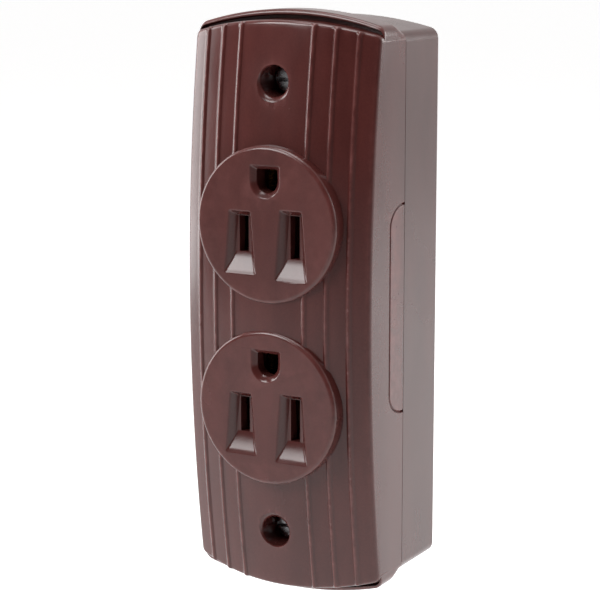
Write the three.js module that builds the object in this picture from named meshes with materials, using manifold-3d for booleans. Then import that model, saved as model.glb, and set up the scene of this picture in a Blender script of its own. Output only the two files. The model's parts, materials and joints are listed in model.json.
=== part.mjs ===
// Duplex wall outlet, surface-mount type: a crowned, ribbed front cover with two grounded
// receptacle faces, screwed to a tray-shaped rear base that carries the contact strips.
// Millimetres. +X right, +Y into the wall, +Z up; the origin is the centre of the back face.
// "Depth" below is the distance in front of the wall, so a point's Y is minus its depth.

import * as THREE from "three";
import { mergeVertices } from "three/addons/utils/BufferGeometryUtils.js";
import { ConvexGeometry } from "three/addons/geometries/ConvexGeometry.js";
import Module from "manifold-3d";

const wasm = await Module();
wasm.setup();

// ---------------------------------------------------------------- driving dimensions

const GAP = 0.3; // clearance between neighbouring pieces
const OVERCUT = 1; // how far a cutting tool runs past the face that it opens

// case outline: straight sides, arched ends
const HALF_WIDTH = 23;
const CORNER_RADIUS = 2.5;
const COVER_APEX = 65;
const COVER_SAGITTA = 3.5;
const BASE_APEX = 63;
const BASE_SAGITTA = 3;
const CAVITY_HALF_WIDTH = 20.6;
const CAVITY_APEX = 60.6;
const CAVITY_SAGITTA = 3;

// depths of the case
const FLOOR_DEPTH = 2.6;
const PARTING_DEPTH = 16;
const HEEL_DEPTH = 19.6; // the cover's end lip runs out to full height here
const RIM_DEPTH = 26;
const RIM_ROUNDING = 0.9;
const GROOVE_WIDTH = 1; // between the panel's arched ends and the lips outside them
const GROOVE_FLOOR = 24.2;
const GROOVE_SIDE_WALL = 0.35;
const LIP_HEIGHT = 1.5; // locating lip of the base, above its wall
const LIP_THICKNESS = 1.1;
const LIP_CUTAWAY = 24.2; // the lip stops short of the break-out tabs

// crowned front panel
const PANEL_APEX = 62.9;
const PANEL_SAGITTA = 3.1;
const PANEL_CORNER_RADIUS = 1.6;
const PANEL_CENTRE_DEPTH = 36.45;
const PANEL_BOW = 5; // drop from the centre to the top and bottom edges
const PANEL_CROSS_BULGE = 4.75; // drop from the centre line to the side edges
const PANEL_THICKNESS = 3;
const RIDGE_CENTRES = [8.9, 13.85, 18.6];
const RIDGE_HALF_WIDTH = 0.65;
const RIDGE_CREST_HALF_WIDTH = 0.25;
const RIDGE_HEIGHT = 0.45;
const PLAIN_COLUMNS = [2, 5, 11.4, 16.2, 21, 23.4]; // panel columns between and beyond the ridges
const PANEL_ROWS = 20;
const HOLLOW_COLUMNS = 14;

// receptacle faces
const FACE_CENTRES = { upper: 19.4, lower: -20.9 };
const FACE_DEPTH = 36.95;
const FACE_FLAT_RADIUS = 16.35;
const FACE_SHOULDER_RADIUS = 16.95;
const FACE_BASE_RADIUS = 17.25;
const FACE_ROOT_DEPTH = 28.45;
const FACE_DRAFT_LENGTH = 4;
const FACE_ROUNDING = 0.8;
const SLOT_DEPTH = 12; // reach of the slot tools behind the face
const SLOT_LINE_DROP = 2.4; // slot centre line below the face centre
const BLADE_OFFSET = 6.35; // half of the blade spacing
const GROUND_RISE = 11.9; // ground pin above the slot centre line
const SLOT_HALF_WIDTH = 1.15;
const SLOT_FLARE = 1.6; // widening of the throat where the bottom flare meets it
const HOT_SLOT_HALF_HEIGHT = 3.95;
const NEUTRAL_SLOT_HALF_HEIGHT = 4.7;
const FUNNEL_DEPTH = 2;
const FUNNEL_TOP_MARGIN = 1.3;
const FUNNEL_BOTTOM_MARGIN = 4.6;
const FUNNEL_TOP_HALF_WIDTH = 2.75;
const FUNNEL_BOTTOM_HALF_WIDTH = 3.9;
const GROUND_HALF_WIDTH = 2.6;
const GROUND_FLAT_RISE = 2.6; // flat top of the ground hole above the pin's centre
const GROUND_BEVEL = 1.1;

// cover screws
const COVER_SCREW_HEIGHT = 50;
const COVER_BOSS_RADIUS = 5.2;
const COVER_BOSS_END = 19.2;
const SCREW_SEAT_DEPTH = 24.8;
const SCREW_BORE_RADIUS = 3.4;
const SCREW_MOUTH_RADIUS = 4.2;
const SCREW_MOUTH_CHAMFER = 0.8;
const CLEARANCE_RADIUS = 2.05;
const SHANK_RADIUS = 1.75;
const COVER_SCREW_TIP = 10;
const WASHER_THICKNESS = 0.6;
const WASHER_RADIUS = 3.05;
const COVER_HEAD_RADIUS = 3.05;
const COVER_HEAD_HEIGHT = 2.1;
const BASE_BOSS_TOP = 18.9;
const INSERT_RADIUS = 3;
const INSERT_TOP = 18.6;
const INSERT_BOTTOM = 6.6;

// side break-out tabs
const TAB_FRONT_DEPTH = 22.7;
const TAB_STRAIGHT_HALF_HEIGHT = 18.4;
const TAB_HALF_HEIGHT = 23.2;
const TAB_THICKNESS = 1.5;

// contact block inside the base
const BLOCK_HALF_WIDTH = 11.6;
const BLOCK_TOP = 33.4;
const BLOCK_BOTTOM = -33;
const BLOCK_FRONT = 29.6;
const WELL_FLOOR = 16.7;
const WELL_HALF_HEIGHT = 4.4;
const WELL_INNER_REACH = 2.35; // from a blade slot's centre towards the middle of the case
const WELL_NOTCH_START = 9.5;
const CHANNEL_FLOOR = 13.4;
const CHANNEL_HALF_WIDTH = 2.6;
const RIVET_POCKET_DEPTH = 1.2;
const GROUND_WELL_HALF_WIDTH = 4.1;
const GROUND_WELL_HALF_HEIGHT = 3.4;
const PAD_HALF_WIDTH = 4.7;
const PAD_MARGIN = 0.5; // terminal pad beyond the tab that it carries
const GROUND_PAD = { halfWidth: 4.8, bottom: -43.6, top: -32 };
const ROOT_OVERLAP = 0.5; // how far pads and bosses sink into the floor
const SCREW_RELIEF_DEPTH = 8;

// contact strips
const STRIP_THICKNESS = 0.8;
const LEAF_THICKNESS = 0.6;
const STRIP_OUTER = 10;
const STRIP_REAR = 17;
const STRIP_FRONT = 22;
const BLADE_LEAF_HALF_HEIGHT = 3.4;
const GROUND_LEAF_HALF_HEIGHT = 2.7;
const BLADE_CONTACT = { pinchHalfGap: 0.6, footHalfWidth: 1.9, mouthHalfGap: 1.5 };
const GROUND_CONTACT = { pinchHalfGap: 2.1, footHalfWidth: 3.4, mouthHalfGap: 3.1 };
const LEAF_BEND = 3; // height of the bend above a contact's foot
const PINCH_DEPTH = 26.4;
const MOUTH_DEPTH = 28.9;
const LEAF_TIP_DEPTH = 29.2;
const FOOT_START = 1; // from a blade slot's centre towards the rail
const FOOT_MARGIN = 0.5;
const LINK_NOTCH_DEPTH = 2.2;
const LINK_NOTCH_HALF_HEIGHT = 1.6;
const LINK_NOTCH_HALF_WIDTH = 2;

// terminals
const TERMINAL_OFFSET = 16;
const TERMINAL_HEIGHTS = { upper: 6.2, lower: -12 };
const GROUND_TERMINAL_HEIGHT = -38.9;
const TERMINAL_TAB_HALF_SIZE = 4;
const TERMINAL_HEAD_RADIUS = 3.4;
const TERMINAL_HEAD_HEIGHT = 2;
const TERMINAL_SHANK_LENGTH = 7;
const CLAMP_HALF_SIZE = 3.8;
const CLAMP_THICKNESS = 0.8;
const CLAMP_GROOVE_OFFSET = 2.9;
const CLAMP_GROOVE_HALF_WIDTH = 0.35;
const CLAMP_GROOVE_DEPTH = 0.3;

// screw details, as shares of the head or in millimetres
const HEAD_EDGE_SHARE = 0.6; // straight part of the head's side
const HEAD_TOP_SHARE = 0.72; // flat top's radius
const SLOT_SHARE = 0.5; // driver slot's depth
const DRIVER_SLOT_HALF_WIDTH = 0.45;
const TIP_CHAMFER_LENGTH = 0.8;
const TIP_CHAMFER = 0.6;
const HEAD_OVERLAP = 0.2;

// ground strap
const STRAP_HALF_WIDTH = 2.2;
const STRAP_THICKNESS = 1;
const STRAP_TOP = 32.6;
const RIVET_SHANK_RADIUS = 0.95;
const RIVET_HEAD_RADIUS = 1.7;
const RIVET_HEAD_HEIGHT = 0.6;
const RIVET_REAR_SHARE = 0.8;
const RIVET_FRONT_SHARE = 0.7;
const RIVET_OVERLAP = 0.1;

// wall fixing holes in the floor of the base
const FIXING_HOLE_RADIUS = 2.3;
const FIXING_HOLES = [[-13, 44], [13, -44]];

// facets
const ROUND_SEGMENTS = 24;
const SMALL_SEGMENTS = 16;
const CURVE_SEGMENTS = 10;
const FACE_SEGMENTS = 56;
const ARCH_SEGMENTS = 14;
const FILLET_SEGMENTS = 4;

// ---------------------------------------------------------------- materials

const finish = (color, roughness, metalness) => ({ color, roughness, metalness });
const BROWN_PLASTIC = finish(0x5a3732, 0.25, 0);
const BASE_PLASTIC = finish(0x4c302c, 0.35, 0);
const BRASS = finish(0xb8903f, 0.35, 1);
const STEEL = finish(0xb9bbbd, 0.3, 1);
const SPRING_BRASS = finish(0xc09a4c, 0.3, 1);
const GREEN_SCREW = finish(0x2e6b3a, 0.4, 0.8);

// ---------------------------------------------------------------- solids

function toSolid(source) {
  const bare = source.clone();
  bare.deleteAttribute("normal");
  bare.deleteAttribute("uv");
  const merged = mergeVertices(bare, 1e-5);
  return new wasm.Manifold(new wasm.Mesh({
    numProp: 3,
    vertProperties: new Float32Array(merged.attributes.position.array),
    triVerts: new Uint32Array(merged.index.array),
  }));
}

function toGeometry(solid) {
  const mesh = solid.getMesh();
  const geometry = new THREE.BufferGeometry();
  geometry.setAttribute("position", new THREE.BufferAttribute(mesh.vertProperties, 3));
  geometry.setIndex(new THREE.BufferAttribute(mesh.triVerts, 1));
  geometry.computeVertexNormals();
  return geometry;
}

const joined = (first, ...rest) => rest.reduce((sum, solid) => sum.add(solid), first);
const cut = (body, ...tools) => tools.reduce((left, tool) => left.subtract(tool), body);

// A box between two depths, given its X and Z limits.
function block([x0, x1], [depth0, depth1], [z0, z1]) {
  const box = new THREE.BoxGeometry(x1 - x0, depth1 - depth0, z1 - z0);
  box.translate((x0 + x1) / 2, -(depth0 + depth1) / 2, (z0 + z1) / 2);
  return toSolid(box);
}

const around = (centre, half) => [centre - half, centre + half];

// A round bar square to the wall; the two radii are at its rear and its front.
function bar(x, z, rearDepth, frontDepth, rearRadius, frontRadius = rearRadius, facets = ROUND_SEGMENTS) {
  const length = frontDepth - rearDepth;
  const cylinder = new THREE.CylinderGeometry(rearRadius, frontRadius, length, facets);
  cylinder.translate(x, -(rearDepth + frontDepth) / 2, z);
  return toSolid(cylinder);
}

// An (x, z) outline swept square to the wall between two depths.
function slab(shape, rearDepth, frontDepth) {
  const depth = frontDepth - rearDepth;
  const options = { depth, bevelEnabled: false, curveSegments: CURVE_SEGMENTS };
  const geometry = new THREE.ExtrudeGeometry(shape, options);
  geometry.translate(0, 0, rearDepth);
  geometry.rotateX(Math.PI / 2);
  return toSolid(geometry);
}

// An (x, y) outline swept up the wall.
function strut(points, [z0, z1]) {
  const shape = new THREE.Shape(points);
  const geometry = new THREE.ExtrudeGeometry(shape, { depth: z1 - z0, bevelEnabled: false });
  geometry.translate(0, 0, z0);
  return toSolid(geometry);
}

// A (y, z) outline swept across the case.
function crossPiece(shape, [x0, x1]) {
  const options = { depth: x1 - x0, bevelEnabled: false, curveSegments: CURVE_SEGMENTS };
  const geometry = new THREE.ExtrudeGeometry(shape, options);
  geometry.translate(0, 0, x0);
  const yAxis = new THREE.Vector3(0, 1, 0);
  const zAxis = new THREE.Vector3(0, 0, 1);
  const xAxis = new THREE.Vector3(1, 0, 0);
  geometry.applyMatrix4(new THREE.Matrix4().makeBasis(yAxis, zAxis, xAxis));
  return toSolid(geometry);
}

// Straight sides and arched ends, with filleted corners, counter-clockwise from +X.
function archedOutline(halfWidth, apex, sagitta, fillet) {
  const archRadius = (halfWidth ** 2 + sagitta ** 2) / (2 * sagitta);
  const archCentre = apex - archRadius;
  const filletX = halfWidth - fillet;
  const filletZ = archCentre + Math.sqrt((archRadius - fillet) ** 2 - filletX ** 2);
  const filletAngle = Math.atan2(filletZ - archCentre, filletX);
  const top = [];
  for (let i = 0; i <= FILLET_SEGMENTS; i += 1) {
    const angle = (filletAngle * i) / FILLET_SEGMENTS;
    top.push(new THREE.Vector2(filletX + fillet * Math.cos(angle), filletZ + fillet * Math.sin(angle)));
  }
  for (let i = 1; i <= ARCH_SEGMENTS / 2; i += 1) {
    const angle = filletAngle + ((Math.PI / 2 - filletAngle) * i) / (ARCH_SEGMENTS / 2);
    top.push(new THREE.Vector2(archRadius * Math.cos(angle), archCentre + archRadius * Math.sin(angle)));
  }
  const topLeft = top.slice(0, -1).reverse().map((p) => new THREE.Vector2(-p.x, p.y));
  const upper = [...top, ...topLeft];
  const lower = upper.map((p) => new THREE.Vector2(-p.x, -p.y));
  return [...upper, ...lower];
}

// A solid through several outlines of equal point count, each at its own depth, rear first.
function loft(sections) {
  const count = sections[0].outline.length;
  const positions = sections.flatMap(({ outline, depth }) => outline.flatMap((p) => [p.x, -depth, p.y]));
  const indices = [];
  for (const [a, b, c] of THREE.ShapeUtils.triangulateShape(sections[0].outline, [])) {
    const front = (sections.length - 1) * count;
    indices.push(a, c, b, front + a, front + b, front + c);
  }
  for (let level = 0; level < sections.length - 1; level += 1) {
    for (let i = 0; i < count; i += 1) {
      const here = level * count + i;
      const next = level * count + ((i + 1) % count);
      indices.push(here, next, next + count, here, next + count, here + count);
    }
  }
  const geometry = new THREE.BufferGeometry();
  geometry.setAttribute("position", new THREE.Float32BufferAttribute(positions, 3));
  geometry.setIndex(indices);
  return toSolid(geometry);
}

const prism = (outline, rearDepth, frontDepth) => loft([
  { outline, depth: rearDepth },
  { outline, depth: frontDepth },
]);

// A block with a flat rear and a front face that follows depthAt(x, z).
function crownedBlock(columns, rows, depthAt, rearDepth) {
  const width = columns.length;
  const sheet = (depth) => rows.flatMap((z) => columns.flatMap((x) => [x, -depth(x, z), z]));
  const rear = width * rows.length;
  const indices = [];
  for (let j = 0; j < rows.length - 1; j += 1) {
    for (let i = 0; i < width - 1; i += 1) {
      const a = j * width + i;
      const [b, c, d] = [a + 1, a + width + 1, a + width];
      indices.push(a, b, c, a, c, d);
      indices.push(rear + a, rear + c, rear + b, rear + a, rear + d, rear + c);
    }
  }
  const last = (rows.length - 1) * width;
  const border = [
    ...columns.map((_, i) => i),
    ...rows.slice(1).map((_, j) => (j + 1) * width + width - 1),
    ...columns.slice(1).map((_, i) => last + width - 2 - i),
    ...rows.slice(2).map((_, j) => (rows.length - 2 - j) * width),
  ];
  border.forEach((p, i) => {
    const q = border[(i + 1) % border.length];
    indices.push(q, p, rear + p, q, rear + p, rear + q);
  });
  const geometry = new THREE.BufferGeometry();
  const positions = [...sheet(depthAt), ...sheet(() => rearDepth)];
  geometry.setAttribute("position", new THREE.Float32BufferAttribute(positions, 3));
  geometry.setIndex(indices);
  return toSolid(geometry);
}

function evenly(low, high, steps) {
  return Array.from({ length: steps + 1 }, (_, i) => low + ((high - low) * i) / steps);
}

// ---------------------------------------------------------------- front panel surface

function arcDrop(distance, half, sagitta) {
  const radius = (half ** 2 + sagitta ** 2) / (2 * sagitta);
  return radius - Math.sqrt(radius ** 2 - distance ** 2);
}

function panelDepth(x, z) {
  const across = arcDrop(x, HALF_WIDTH, PANEL_CROSS_BULGE);
  const along = arcDrop(z, PANEL_APEX, PANEL_BOW);
  return PANEL_CENTRE_DEPTH - across - along;
}

function ridgeHeight(x) {
  const offsets = RIDGE_CENTRES.map((centre) => Math.abs(Math.abs(x) - centre));
  return Math.min(...offsets) <= RIDGE_CREST_HALF_WIDTH + 1e-6 ? RIDGE_HEIGHT : 0;
}

function ridgeColumns() {
  const flank = [RIDGE_HALF_WIDTH, RIDGE_CREST_HALF_WIDTH];
  const steps = [...flank, ...flank.map((step) => -step)];
  const right = RIDGE_CENTRES.flatMap((centre) => steps.map((step) => centre - step));
  const half = [...right, ...PLAIN_COLUMNS].sort((a, b) => a - b);
  return [...half.map((x) => -x).reverse(), 0, ...half];
}

const slotLine = (name) => FACE_CENTRES[name] - SLOT_LINE_DROP;
const groundHeight = (name) => slotLine(name) + GROUND_RISE;

// ---------------------------------------------------------------- front cover

function receptacleFace(centre) {
  const rounding = new THREE.Vector2(
    FACE_SHOULDER_RADIUS - (FACE_SHOULDER_RADIUS - FACE_FLAT_RADIUS) / 3,
    FACE_DEPTH - FACE_ROUNDING / 3,
  );
  const profile = [
    [0, FACE_ROOT_DEPTH],
    [FACE_BASE_RADIUS, FACE_ROOT_DEPTH],
    [FACE_BASE_RADIUS, FACE_DEPTH - FACE_DRAFT_LENGTH],
    [FACE_SHOULDER_RADIUS, FACE_DEPTH - FACE_ROUNDING],
    [rounding.x, rounding.y],
    [FACE_FLAT_RADIUS, FACE_DEPTH],
    [0, FACE_DEPTH],
  ];
  const points = profile.map(([radius, depth]) => new THREE.Vector2(radius, -depth)).reverse();
  const lathe = new THREE.LatheGeometry(points, FACE_SEGMENTS);
  lathe.translate(0, 0, centre);
  return toSolid(lathe);
}

function bladeSlot(x, centre, halfHeight) {
  const throatDepths = [FACE_DEPTH - SLOT_DEPTH, FACE_DEPTH + OVERCUT];
  const throat = block(around(x, SLOT_HALF_WIDTH), throatDepths, around(centre, halfHeight));
  const innerDepth = FACE_DEPTH - FUNNEL_DEPTH;
  const top = centre + halfHeight;
  const bottom = centre - halfHeight;
  const corner = (dx, depth, z) => new THREE.Vector3(x + dx, -depth, z);
  const corners = [
    corner(SLOT_HALF_WIDTH, innerDepth, top),
    corner(SLOT_HALF_WIDTH * SLOT_FLARE, innerDepth, bottom),
    corner(FUNNEL_TOP_HALF_WIDTH, FACE_DEPTH, top + FUNNEL_TOP_MARGIN),
    corner(FUNNEL_BOTTOM_HALF_WIDTH, FACE_DEPTH, bottom - FUNNEL_BOTTOM_MARGIN),
    corner(FUNNEL_TOP_HALF_WIDTH, FACE_DEPTH + OVERCUT, top + FUNNEL_TOP_MARGIN),
    corner(FUNNEL_BOTTOM_HALF_WIDTH, FACE_DEPTH + OVERCUT, bottom - FUNNEL_BOTTOM_MARGIN),
  ];
  const mirrored = corners.map((p) => new THREE.Vector3(2 * x - p.x, p.y, p.z));
  return throat.add(toSolid(new ConvexGeometry([...corners, ...mirrored])));
}

// Flat on top, round underneath.
function groundOutline(centre, halfWidth, flatRise) {
  const shape = new THREE.Shape();
  shape.moveTo(halfWidth, centre + flatRise);
  shape.lineTo(-halfWidth, centre + flatRise);
  shape.lineTo(-halfWidth, centre);
  shape.absarc(0, centre, halfWidth, Math.PI, 2 * Math.PI, false);
  shape.closePath();
  return shape;
}

function groundHole(centre) {
  const reach = GROUND_HALF_WIDTH + GROUND_BEVEL;
  const innerShape = groundOutline(centre, GROUND_HALF_WIDTH, GROUND_FLAT_RISE);
  const rimShape = groundOutline(centre, reach, GROUND_FLAT_RISE + GROUND_BEVEL);
  const throat = slab(innerShape, FACE_DEPTH - SLOT_DEPTH, FACE_DEPTH + OVERCUT);
  const rim = rimShape.getPoints(CURVE_SEGMENTS);
  const inner = innerShape.getPoints(CURVE_SEGMENTS);
  const lift = (points, depth) => points.map((p) => new THREE.Vector3(p.x, -depth, p.y));
  const bevel = new ConvexGeometry([
    ...lift(inner, FACE_DEPTH - GROUND_BEVEL),
    ...lift(rim, FACE_DEPTH),
    ...lift(rim, FACE_DEPTH + OVERCUT),
  ]);
  return throat.add(toSolid(bevel));
}

function coverBoss(z) {
  return bar(0, z, COVER_BOSS_END, panelDepth(0, z) - 1, COVER_BOSS_RADIUS);
}

function coverScrewHole(z) {
  const mouth = panelDepth(0, z);
  return joined(
    bar(0, z, COVER_BOSS_END - OVERCUT, mouth + OVERCUT, CLEARANCE_RADIUS),
    bar(0, z, SCREW_SEAT_DEPTH, mouth + OVERCUT, SCREW_BORE_RADIUS),
    bar(0, z, mouth - SCREW_MOUTH_CHAMFER, mouth + SCREW_MOUTH_CHAMFER, SCREW_BORE_RADIUS,
      2 * SCREW_MOUTH_RADIUS - SCREW_BORE_RADIUS),
  );
}

// Straight front edge with elliptical ends that run back to the parting plane.
function tabOutline(shrink) {
  const frontReach = TAB_FRONT_DEPTH - PARTING_DEPTH - shrink;
  const endReach = TAB_HALF_HEIGHT - TAB_STRAIGHT_HALF_HEIGHT - shrink;
  const rearY = -(PARTING_DEPTH - (shrink > 0 ? -GAP / 2 : OVERCUT));
  const shape = new THREE.Shape();
  shape.moveTo(rearY, -TAB_HALF_HEIGHT + shrink);
  shape.lineTo(rearY, TAB_HALF_HEIGHT - shrink);
  shape.absellipse(-PARTING_DEPTH - GAP / 2, TAB_STRAIGHT_HALF_HEIGHT, frontReach, endReach,
    Math.PI / 2, Math.PI, false);
  shape.absellipse(-PARTING_DEPTH - GAP / 2, -TAB_STRAIGHT_HALF_HEIGHT, frontReach, endReach,
    Math.PI, 1.5 * Math.PI, false);
  shape.closePath();
  return shape;
}

const COVER_REAR = PARTING_DEPTH + GAP / 2;

// The side walls with the two end lips; a groove inside each lip sets off the panel.
function coverWalls() {
  const rim = (apex) => archedOutline(HALF_WIDTH, apex, COVER_SAGITTA, CORNER_RADIUS);
  const walls = loft([
    { outline: archedOutline(HALF_WIDTH, BASE_APEX, BASE_SAGITTA, CORNER_RADIUS), depth: COVER_REAR },
    { outline: rim(COVER_APEX), depth: HEEL_DEPTH },
    { outline: rim(COVER_APEX), depth: RIM_DEPTH - RIM_ROUNDING },
    { outline: rim(COVER_APEX - RIM_ROUNDING), depth: RIM_DEPTH },
  ]);
  const grooveOutline = archedOutline(HALF_WIDTH - GROOVE_SIDE_WALL, PANEL_APEX + GROOVE_WIDTH,
    PANEL_SAGITTA, PANEL_CORNER_RADIUS);
  return cut(walls, prism(grooveOutline, GROOVE_FLOOR, RIM_DEPTH + OVERCUT));
}

function coverPanel(rows) {
  const surface = (x, z) => panelDepth(x, z) + ridgeHeight(x);
  const crown = crownedBlock(ridgeColumns(), rows, surface, COVER_REAR);
  const outline = archedOutline(HALF_WIDTH, PANEL_APEX, PANEL_SAGITTA, PANEL_CORNER_RADIUS);
  return crown.intersect(prism(outline, COVER_REAR + 1, FACE_DEPTH + OVERCUT));
}

function coverCavity(rows) {
  const columns = evenly(-HALF_WIDTH, HALF_WIDTH, HOLLOW_COLUMNS);
  const surface = (x, z) => panelDepth(x, z) - PANEL_THICKNESS;
  const hollow = crownedBlock(columns, rows, surface, COVER_REAR - OVERCUT);
  const outline = archedOutline(CAVITY_HALF_WIDTH, CAVITY_APEX, CAVITY_SAGITTA, CORNER_RADIUS);
  return hollow.intersect(prism(outline, COVER_REAR - OVERCUT, FACE_DEPTH));
}

function frontCover() {
  const rows = evenly(-COVER_APEX, COVER_APEX, PANEL_ROWS);
  const faces = Object.values(FACE_CENTRES).map(receptacleFace);
  const shell = cut(joined(coverWalls(), coverPanel(rows), ...faces), coverCavity(rows));
  const bossed = joined(shell, coverBoss(COVER_SCREW_HEIGHT), coverBoss(-COVER_SCREW_HEIGHT));
  const openings = ["upper", "lower"].flatMap((name) => [
    bladeSlot(-BLADE_OFFSET, slotLine(name), HOT_SLOT_HALF_HEIGHT),
    bladeSlot(BLADE_OFFSET, slotLine(name), NEUTRAL_SLOT_HALF_HEIGHT),
    groundHole(groundHeight(name)),
  ]);
  const window = tabOutline(0);
  return cut(
    bossed,
    ...openings,
    coverScrewHole(COVER_SCREW_HEIGHT),
    coverScrewHole(-COVER_SCREW_HEIGHT),
    crossPiece(window, [CAVITY_HALF_WIDTH - OVERCUT, HALF_WIDTH + OVERCUT]),
    crossPiece(window, [-HALF_WIDTH - OVERCUT, -CAVITY_HALF_WIDTH + OVERCUT]),
  );
}

function breakoutTab(side) {
  const limits = [side * HALF_WIDTH, side * (HALF_WIDTH - TAB_THICKNESS)].sort((a, b) => a - b);
  return crossPiece(tabOutline(GAP), limits);
}

// ---------------------------------------------------------------- rear base

function bladeWells(side) {
  const inner = BLADE_OFFSET - WELL_INNER_REACH;
  const outer = STRIP_OUTER + GAP;
  const across = (a, b) => [side * a, side * b].sort((p, q) => p - q);
  const front = BLOCK_FRONT + OVERCUT;
  const wells = ["upper", "lower"].map((name) => (
    block(across(inner, outer), [WELL_FLOOR, front], around(slotLine(name), WELL_HALF_HEIGHT))
  ));
  const stripSlot = block(across(STRIP_OUTER - STRIP_THICKNESS - GAP, outer), [WELL_FLOOR, front],
    [slotLine("lower"), slotLine("upper")]);
  const notches = Object.values(TERMINAL_HEIGHTS).map((z) => (
    block(across(WELL_NOTCH_START, BLOCK_HALF_WIDTH + OVERCUT), [WELL_FLOOR, front],
      around(z, TERMINAL_TAB_HALF_SIZE + GAP))
  ));
  return [...wells, stripSlot, ...notches];
}

function groundChannel() {
  const front = BLOCK_FRONT + OVERCUT;
  const channel = block(around(0, CHANNEL_HALF_WIDTH), [CHANNEL_FLOOR, front],
    [BLOCK_BOTTOM - OVERCUT, STRAP_TOP + GAP]);
  const wells = ["upper", "lower"].map((name) => (
    block(around(0, GROUND_WELL_HALF_WIDTH), [CHANNEL_FLOOR, front],
      around(groundHeight(name), GROUND_WELL_HALF_HEIGHT))
  ));
  const rivetPockets = ["upper", "lower"].map((name) => (
    bar(0, groundHeight(name), CHANNEL_FLOOR - RIVET_POCKET_DEPTH, CHANNEL_FLOOR + OVERCUT,
      RIVET_HEAD_RADIUS + GAP)
  ));
  return [channel, ...wells, ...rivetPockets];
}

const BASE_WALL_TOP = PARTING_DEPTH - GAP / 2;
const ROOT_DEPTH = FLOOR_DEPTH - ROOT_OVERLAP;

// The tray and the lip inside its wall that locates the cover.
function baseTray() {
  const inset = (distance) => archedOutline(CAVITY_HALF_WIDTH - distance, CAVITY_APEX - distance,
    CAVITY_SAGITTA, CORNER_RADIUS);
  const lipTop = BASE_WALL_TOP + LIP_HEIGHT;
  const tray = cut(
    prism(archedOutline(HALF_WIDTH, BASE_APEX, BASE_SAGITTA, CORNER_RADIUS), 0, BASE_WALL_TOP),
    prism(inset(0), FLOOR_DEPTH, BASE_WALL_TOP + OVERCUT),
  );
  const lip = cut(
    prism(inset(GAP), ROOT_DEPTH, lipTop),
    prism(inset(GAP + LIP_THICKNESS), ROOT_DEPTH - OVERCUT, lipTop + OVERCUT),
    block(around(0, HALF_WIDTH), [BASE_WALL_TOP - 4, lipTop + OVERCUT], around(0, LIP_CUTAWAY)),
  );
  return joined(tray, lip);
}

function rearBase() {
  const pads = [-1, 1].flatMap((side) => Object.values(TERMINAL_HEIGHTS).map((z) => (
    block(around(side * TERMINAL_OFFSET, PAD_HALF_WIDTH), [ROOT_DEPTH, WELL_FLOOR],
      around(z, TERMINAL_TAB_HALF_SIZE + PAD_MARGIN))
  )));
  const groundPad = block(around(0, GROUND_PAD.halfWidth), [ROOT_DEPTH, CHANNEL_FLOOR],
    [GROUND_PAD.bottom, GROUND_PAD.top]);
  const core = block(around(0, BLOCK_HALF_WIDTH), [ROOT_DEPTH, BLOCK_FRONT], [BLOCK_BOTTOM, BLOCK_TOP]);
  const bosses = [1, -1].map((end) => (
    bar(0, end * COVER_SCREW_HEIGHT, ROOT_DEPTH, BASE_BOSS_TOP, COVER_BOSS_RADIUS)
  ));
  const insertSockets = [1, -1].map((end) => (
    bar(0, end * COVER_SCREW_HEIGHT, INSERT_BOTTOM - GAP, BASE_BOSS_TOP + OVERCUT, INSERT_RADIUS + GAP)
  ));
  const screwReliefs = [-1, 1].flatMap((side) => Object.values(TERMINAL_HEIGHTS).map((z) => (
    bar(side * TERMINAL_OFFSET, z, WELL_FLOOR - SCREW_RELIEF_DEPTH, WELL_FLOOR + OVERCUT, CLEARANCE_RADIUS)
  )));
  const groundRelief = bar(0, GROUND_TERMINAL_HEIGHT, CHANNEL_FLOOR - SCREW_RELIEF_DEPTH,
    CHANNEL_FLOOR + OVERCUT, CLEARANCE_RADIUS);
  const fixingHoles = FIXING_HOLES.map(([x, z]) => (
    bar(x, z, -OVERCUT, FLOOR_DEPTH + OVERCUT, FIXING_HOLE_RADIUS)
  ));
  return cut(
    joined(baseTray(), core, groundPad, ...pads, ...bosses),
    ...bladeWells(-1),
    ...bladeWells(1),
    ...groundChannel(),
    ...insertSockets,
    ...screwReliefs,
    groundRelief,
    ...fixingHoles,
  );
}

// ---------------------------------------------------------------- contacts

// A tulip-shaped pair of leaves that pinches a blade or pin; depths are measured from the wall.
function contactProfile(x, rear, { pinchHalfGap, footHalfWidth, mouthHalfGap }) {
  const side = [
    [footHalfWidth, rear],
    [footHalfWidth, rear + LEAF_BEND],
    [pinchHalfGap + LEAF_THICKNESS, PINCH_DEPTH],
    [mouthHalfGap + LEAF_THICKNESS, MOUTH_DEPTH],
    [mouthHalfGap, LEAF_TIP_DEPTH],
    [pinchHalfGap, PINCH_DEPTH],
    [footHalfWidth - LEAF_THICKNESS, rear + LEAF_BEND],
    [footHalfWidth - LEAF_THICKNESS, rear + LEAF_THICKNESS],
  ];
  const right = side.map(([dx, depth]) => new THREE.Vector2(x + dx, -depth));
  const left = side.map(([dx, depth]) => new THREE.Vector2(x - dx, -depth)).reverse();
  return [...right, ...left].reverse();
}

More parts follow.
